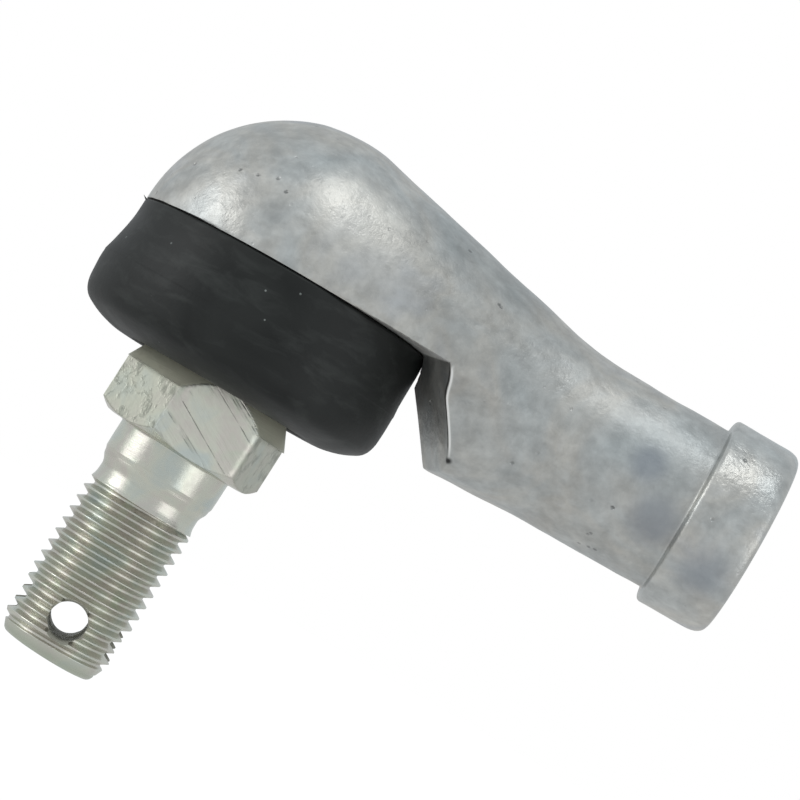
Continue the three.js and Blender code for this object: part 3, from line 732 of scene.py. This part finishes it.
def cast_zinc():
    """Raw die-cast zinc: soft cool and warm clouds, fine mottling, patches of small bright relief,
    painted shade in blue-grey patches and in a duller patch on the neck, a painted highlight on the dome,
    clustered pits, a painted dark reflection on the dome's top, and along the end wall's edge a bright line of
    wear and painted highlight beside a painted shadow."""
    material, tree, shader, at = new_finish("cast_zinc")
    wear_sheen_and_shadow = mark(tree, "wear_sheen_and_shadow")
    x = add(tree, "SeparateXYZ", {"Vector": at}).outputs["X"]
    collar_x = COLLAR_START - REACH
    on_collar = spread(tree, x, (collar_x - 0.15) * MM, (collar_x + 0.15) * MM)
    clouds = noise(tree, at, 8.0, 3, 0.5, 0.5)
    blotches = noise(tree, at, 2.4, 5, 0.6, 0.3)
    mottle = noise(tree, at, 0.9, 4, 0.6, 0.2)
    grain = noise(tree, at, 0.3, 3, 0.6)
    streaks = noise(tree, stretched(tree, at, (0.3, 1, 1), (0, 0.35, 0.2)), 1.1, 3, 0.6, 0.4)
    colour = ramp(tree, clouds, [
        (0.3, (0.44, 0.47, 0.47)),
        (0.45, (0.47, 0.485, 0.475)),
        (0.56, (0.50, 0.495, 0.465)),
        (0.7, (0.46, 0.475, 0.48)),
    ])
    colour = shaded(tree, colour, spread(tree, blotches, 0.36, 0.62, 0.86, 1.07))
    colour = shaded(tree, colour, spread(tree, mottle, 0.36, 0.64, 0.92, 1.06))
    colour = shaded(tree, colour, spread(tree, streaks, 0.35, 0.65, 0.96, 1.03))
    pits = dots(tree, at, 1.5)
    pitted = spread(tree, noise(tree, at, 4.0, 2), 0.5, 0.62)
    pit = times(tree, spread(tree, pits, 0.05, 0.14, 1.0, 0.0), pitted)
    colour = mix(tree, times(tree, pit, 0.7), colour, (0.16, 0.165, 0.165))
    # painted highlight: a bright warm patch on the dome
    painted_highlight = near(tree, at, *DOME_PAINTED_HIGHLIGHT)
    painted_highlight = times(tree, painted_highlight, spread(tree, blotches, 0.3, 0.6, 0.5, 1.0))
    dull = near(tree, at, *DULL_SHADED_PATCH)
    colour = shaded(tree, colour, spread(tree, on_collar, 0.0, 1.0, 1.0, 1.08))
    # painted shade: darker on the neck, damping its highlight; the patch is also rougher below
    colour = shaded(tree, colour, spread(tree, dull, 0.0, 1.0, 1.0, 0.84))
    # painted shade: dark blue-grey patches on the collar and the arm
    for centre, radius in PAINTED_SHADE_PATCHES:
        bluish = times(tree, near(tree, at, centre, radius), 0.6)
        colour = mix(tree, bluish, colour, (0.26, 0.29, 0.33))
    colour = mix(tree, times(tree, painted_highlight, 0.75), colour, (0.76, 0.75, 0.70))
    # a bright line of wear and painted highlight along the wall's edge
    colour = mix(tree, spread(tree, wear_sheen_and_shadow, 0.0, 0.8), colour, (0.86, 0.86, 0.84))
    # painted shadow: a dark line just inside the wall's edge
    colour = mix(tree, spread(tree, wear_sheen_and_shadow, 0.0, -0.9, 0.0, 0.85), colour, (0.05, 0.05, 0.045))
    colour = mix(tree, near(tree, at, *CORNER_PIT), colour, (0.04, 0.04, 0.04))
    # painted reflection: a ragged dark patch along the dome's top
    nibbled = spread(tree, mottle, 0.3, 0.7, 0.0, 0.45)
    ragged = less(tree, near(tree, at, *DOME_TOP_DARK_REFLECTION), nibbled)
    painted_dark_reflection = spread(tree, ragged, 0.0, 0.4, 0.0, 0.6)
    colour = mix(tree, painted_dark_reflection, colour, (0.08, 0.085, 0.085))
    tree.links.new(colour, shader.inputs["Base Color"])
    shader.inputs["Metallic"].default_value = 0.85
    rough = spread(tree, blotches, 0.3, 0.7, 0.36, 0.52)
    rough = less(tree, rough, times(tree, on_collar, 0.08))
    rough = plus(tree, rough, times(tree, dull, 0.06))
    tree.links.new(rough, shader.inputs["Roughness"])
    relief = spread(tree, noise(tree, at, 5.0, 2), 0.42, 0.6, 0.25, 1.0)
    relief = arithmetic(tree, "MAXIMUM", relief, arithmetic(tree, "MAXIMUM", on_collar, painted_highlight))
    normal = bump(tree, clouds, 0.12)
    normal = bump(tree, blotches, 0.07, normal)
    normal = bump(tree, times(tree, mottle, relief), 0.09, normal)
    normal = bump(tree, streaks, 0.02, normal)
    normal = bump(tree, grain, 0.016, normal)
    normal = bump(tree, times(tree, pit, -1.0), 0.12, normal)
    normal = bump(tree, times(tree, painted_dark_reflection, grain), 0.15, normal)
    tree.links.new(normal, shader.inputs["Normal"])
    return material


def plated_steel():
    """Machined steel with thin pale yellow plating: turned rings on the round parts, slanting cutter
    grooves on the sixth flat, forging marks on the others, and an olive shoulder above them."""
    material, tree, shader, at = new_finish("plated_steel")
    flat = mark(tree, "flat")
    long_flat = mark(tree, "long_flat")
    depth = mark(tree, "thread_depth")
    along = mark(tree, "along")
    rings = noise(tree, stretched(tree, at, (0.02, 0.02, 1)), 0.12, 3, 0.6)
    tints = noise(tree, at, 3.0, 3, 0.5, 0.5)
    dings = noise(tree, at, 0.5, 3, 0.6)
    # thin grooves lie where a stretched noise crosses its middle
    slant = stretched(tree, at, (0.07, 0.07, 1), (0, math.radians(-30), 0))
    waves = noise(tree, slant, 1.5, 2, 0.4)
    from_middle = arithmetic(tree, "ABSOLUTE", less(tree, waves, 0.5), 0.0)
    groove = times(tree, spread(tree, from_middle, 0.003, 0.016, 1.0, 0.0), long_flat)
    groove = times(tree, groove, spread(tree, noise(tree, at, 1.4, 2), 0.4, 0.58, 0.15, 1.0))
    fine_cuts = noise(tree, slant, 0.3, 3, 0.7)
    forged = times(tree, flat, less(tree, 1.0, long_flat))
    scale_marks = times(tree, spread(tree, noise(tree, at, 1.3, 4, 0.65, 0.3), 0.5, 0.66), forged)
    colour = ramp(tree, tints, [
        (0.3, (0.52, 0.57, 0.54)),
        (0.48, (0.60, 0.61, 0.53)),
        (0.6, (0.585, 0.56, 0.51)),
        (0.72, (0.54, 0.57, 0.48)),
    ])
    shoulder = times(tree, spread(tree, along, 9.0, 9.2), spread(tree, along, 12.2, 11.6))
    shoulder = times(tree, shoulder, less(tree, 1.0, flat))
    colour = mix(tree, times(tree, shoulder, 0.8), colour, (0.46, 0.46, 0.35))
    colour = mix(tree, times(tree, forged, 0.55), colour, (0.36, 0.37, 0.3))
    colour = mix(tree, times(tree, scale_marks, 0.75), colour, (0.24, 0.25, 0.21))
    colour = mix(tree, times(tree, groove, 0.4), colour, (0.28, 0.29, 0.26))
    colour = mix(tree, spread(tree, depth, 0.2, 1.0, 0.0, 0.2), colour, (0.42, 0.41, 0.36))
    # the cross holes' walls carry no marks, so along reads 0 there, although they are far below the ball
    low = spread(tree, add(tree, "SeparateXYZ", {"Vector": at}).outputs["Z"], -24 * MM, -25 * MM)
    in_hole = times(tree, low, spread(tree, along, 20, 5))
    # painted shade: the cross holes' walls darkened, standing in for the shade inside them
    colour = mix(tree, times(tree, in_hole, 0.85), colour, (0.2, 0.2, 0.16))
    # painted shade: the end's chamfer darker and greener, standing in for the darker surroundings it reflects
    colour = mix(tree, spread(tree, along, 34.6, 35.4, 0.0, 0.5), colour, (0.36, 0.42, 0.33))
    tree.links.new(colour, shader.inputs["Base Color"])
    metal = less(tree, spread(tree, shoulder, 0.0, 1.0, 1.0, 0.45), in_hole)
    tree.links.new(metal, shader.inputs["Metallic"])
    rough = spread(tree, dings, 0.3, 0.7, 0.2, 0.32)
    rough = plus(tree, rough, times(tree, shoulder, 0.3))
    rough = plus(tree, rough, times(tree, flat, 0.12))
    rough = plus(tree, rough, times(tree, in_hole, 0.4))
    rough = plus(tree, rough, spread(tree, depth, 0.0, 0.3, 0.0, 0.08))
    tree.links.new(rough, shader.inputs["Roughness"])
    round_height = times(tree, rings, less(tree, 1.0, flat))
    normal = bump(tree, round_height, 0.012)
    normal = bump(tree, times(tree, fine_cuts, long_flat), 0.035, normal)
    normal = bump(tree, times(tree, groove, -1.0), 0.035, normal)
    normal = bump(tree, times(tree, scale_marks, -1.0), 0.022, normal)
    normal = bump(tree, dings, 0.014, normal)
    tree.links.new(normal, shader.inputs["Normal"])
    return material


def moulded_rubber():
    """Satin black rubber: a dull bloom in soft clouds, faint smears, fine grain and specks of dust."""
    material, tree, shader, at = new_finish("moulded_rubber")
    bloom = noise(tree, at, 6.0, 3, 0.5, 0.6)
    grain = noise(tree, at, 0.3, 3, 0.6)
    specks = dots(tree, at, 1.9)
    speck = spread(tree, specks, 0.035, 0.06, 1.0, 0.0)
    colour = ramp(tree, bloom, [
        (0.35, (0.004, 0.0055, 0.005)),
        (0.65, (0.013, 0.015, 0.014)),
    ])
    smears = spread(tree, noise(tree, stretched(tree, at, (0.35, 0.35, 1)), 1.3, 4, 0.6, 0.5), 0.5, 0.72)
    colour = mix(tree, times(tree, smears, 0.38), colour, (0.045, 0.05, 0.047))
    dusty = spread(tree, noise(tree, at, 3.0, 2), 0.5, 0.56)
    colour = mix(tree, times(tree, speck, dusty), colour, (0.2, 0.22, 0.21))
    tree.links.new(colour, shader.inputs["Base Color"])
    tree.links.new(spread(tree, bloom, 0.3, 0.7, 0.44, 0.6), shader.inputs["Roughness"])
    shader.inputs["Specular IOR Level"].default_value = 0.3
    normal = bump(tree, bloom, 0.1)
    normal = bump(tree, grain, 0.012, normal)
    tree.links.new(normal, shader.inputs["Normal"])
    return material


def spring_steel():
    """Dark oiled spring steel with fine drawn lines."""
    material, tree, shader, at = new_finish("spring_steel")
    clouds = noise(tree, at, 1.5, 4, 0.6)
    colour = ramp(tree, clouds, [(0.3, (0.07, 0.075, 0.085)), (0.7, (0.16, 0.16, 0.165))])
    tree.links.new(colour, shader.inputs["Base Color"])
    shader.inputs["Metallic"].default_value = 1.0
    tree.links.new(spread(tree, clouds, 0.3, 0.7, 0.28, 0.48), shader.inputs["Roughness"])
    tree.links.new(bump(tree, noise(tree, at, 0.15, 2), 0.01), shader.inputs["Normal"])
    return material


def natural_acetal():
    """Moulded ivory acetal with a faint flow pattern."""
    material, tree, shader, at = new_finish("natural_acetal")
    flow = noise(tree, at, 4.0, 3, 0.5, 1.0)
    colour = ramp(tree, flow, [(0.3, (0.72, 0.69, 0.6)), (0.7, (0.82, 0.8, 0.73))])
    tree.links.new(colour, shader.inputs["Base Color"])
    tree.links.new(spread(tree, flow, 0.3, 0.7, 0.35, 0.5), shader.inputs["Roughness"])
    shader.inputs["Subsurface Weight"].default_value = 0.05
    tree.links.new(bump(tree, noise(tree, at, 0.4, 2), 0.01), shader.inputs["Normal"])
    return material


def finish(piece, material):
    """Gives every face of the piece one material."""
    piece.data.materials.clear()
    piece.data.materials.append(material)


# ---------------------------------------------------------------- studio

CAMERA = {"azimuth": 2.8, "elevation": -2.8, "roll": 29.8, "distance": 0.234, "lens": 130}
TARGET = Vector((-0.03047, 0, -0.00374))


def make_camera():
    """The camera looks at the part from its front, rolled so that the arm points down to the right."""
    azimuth, elevation, roll = (math.radians(CAMERA[key]) for key in ("azimuth", "elevation", "roll"))
    back = Vector((math.sin(azimuth) * math.cos(elevation), -math.cos(azimuth) * math.cos(elevation),
                   math.sin(elevation)))
    right = (-back).cross(Vector((-math.sin(roll), 0, math.cos(roll)))).normalized()
    up = back.cross(right)
    data = bpy.data.cameras.new("camera")
    data.lens = CAMERA["lens"]
    data.sensor_width = 36
    data.clip_start = 0.01
    camera = bpy.data.objects.new("camera", data)
    camera.matrix_world = Matrix.Translation(TARGET + back * CAMERA["distance"]) @ Matrix(
        (right, up, back)).transposed().to_4x4()
    bpy.context.scene.collection.objects.link(camera)
    bpy.context.scene.camera = camera


def add_softbox(name, direction, distance, size, power):
    """A square soft light that faces the part from that direction."""
    data = bpy.data.lights.new(name, "AREA")
    data.shape = "SQUARE"
    data.size = size
    data.energy = power
    light = bpy.data.objects.new(name, data)
    direction = Vector(direction).normalized()
    light.location = TARGET + direction * distance
    light.rotation_mode = "QUATERNION"
    light.rotation_quaternion = direction.to_track_quat("Z", "Y")
    light.visible_camera = False
    bpy.context.scene.collection.objects.link(light)


def make_studio():
    """Soft boxes at the left, the right and above, and even white surroundings, which look brighter
    to the camera than they are as light."""
    add_softbox("left_light", (-0.91, -0.37, 0.15), 0.6, 0.4, 0.55)
    add_softbox("left_lamp", (-0.895, -0.345, 0.243), 0.6, 0.12, 0.28)
    add_softbox("right_light", (0.84, -0.54, -0.05), 0.6, 0.4, 0.45)
    add_softbox("top_light", (0.02, -0.36, 0.93), 0.6, 0.2, 0.36)
    world = bpy.data.worlds.new("surroundings")
    bpy.context.scene.world = world
    world.use_nodes = True
    tree = world.node_tree
    seen = tree.nodes["Background"]
    seen.inputs["Color"].default_value = (1, 1, 1, 1)
    around = add(tree, "Background", {"Color": (0.93, 0.97, 1.0, 1), "Strength": 0.75})
    seen_directly = add(tree, "LightPath", {}).outputs["Is Camera Ray"]
    both = add(tree, "MixShader", {0: seen_directly, 1: around.outputs[0], 2: seen.outputs[0]})
    tree.links.new(both.outputs[0], tree.nodes["World Output"].inputs["Surface"])
    bpy.context.scene.view_settings.view_transform = "Standard"


def make_floor():
    """A wide pale floor well below the part, which glows a little, and more so to the camera."""
    size = 4.0
    drop = 0.17
    corners = [(-size, -size, -drop), (size, -size, -drop), (size, size, -drop), (-size, size, -drop)]
    mesh = bpy.data.meshes.new("floor")
    mesh.from_pydata(corners, [], [(0, 1, 2, 3)])
    floor = bpy.data.objects.new("floor", mesh)
    bpy.context.scene.collection.objects.link(floor)
    material, tree, shader, at = new_finish("pale_floor")
    paper = ramp(tree, noise(tree, at, 40.0, 2), [(0.0, (0.32, 0.32, 0.32)), (1.0, (0.34, 0.34, 0.34))])
    tree.links.new(paper, shader.inputs["Base Color"])
    shader.inputs["Roughness"].default_value = 0.9
    shader.inputs["Specular IOR Level"].default_value = 0.0
    shader.inputs["Emission Color"].default_value = (1, 1, 1, 1)
    seen_directly = add(tree, "LightPath", {}).outputs["Is Camera Ray"]
    tree.links.new(spread(tree, seen_directly, 0, 1, 0.42, 0.8), shader.inputs["Emission Strength"])
    finish(floor, material)


# ---------------------------------------------------------------- the whole model

make_camera()
make_studio()
make_floor()

zinc, steel, rubber = cast_zinc(), plated_steel(), moulded_rubber()
spring, acetal = spring_steel(), natural_acetal()

housing = make_housing()
finish(housing, zinc)
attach(housing, "housing")
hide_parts("housing")

stud = make_stud()
finish(stud, steel)
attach(stud, "stud")
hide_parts("ball_stud")

boot = make_boot()
finish(boot, rubber)
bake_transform(boot)
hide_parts("dust_boot")

SLOT_FINISHES = {"zinc_casting": zinc, "plated_steel": steel, "spring_steel": spring,
                 "acetal": acetal, "rubber": rubber}
for subpart in frame["record"]["subparts"]:
    finish(frame["nodes"][subpart["node"]], SLOT_FINISHES[subpart["material_slot"]])
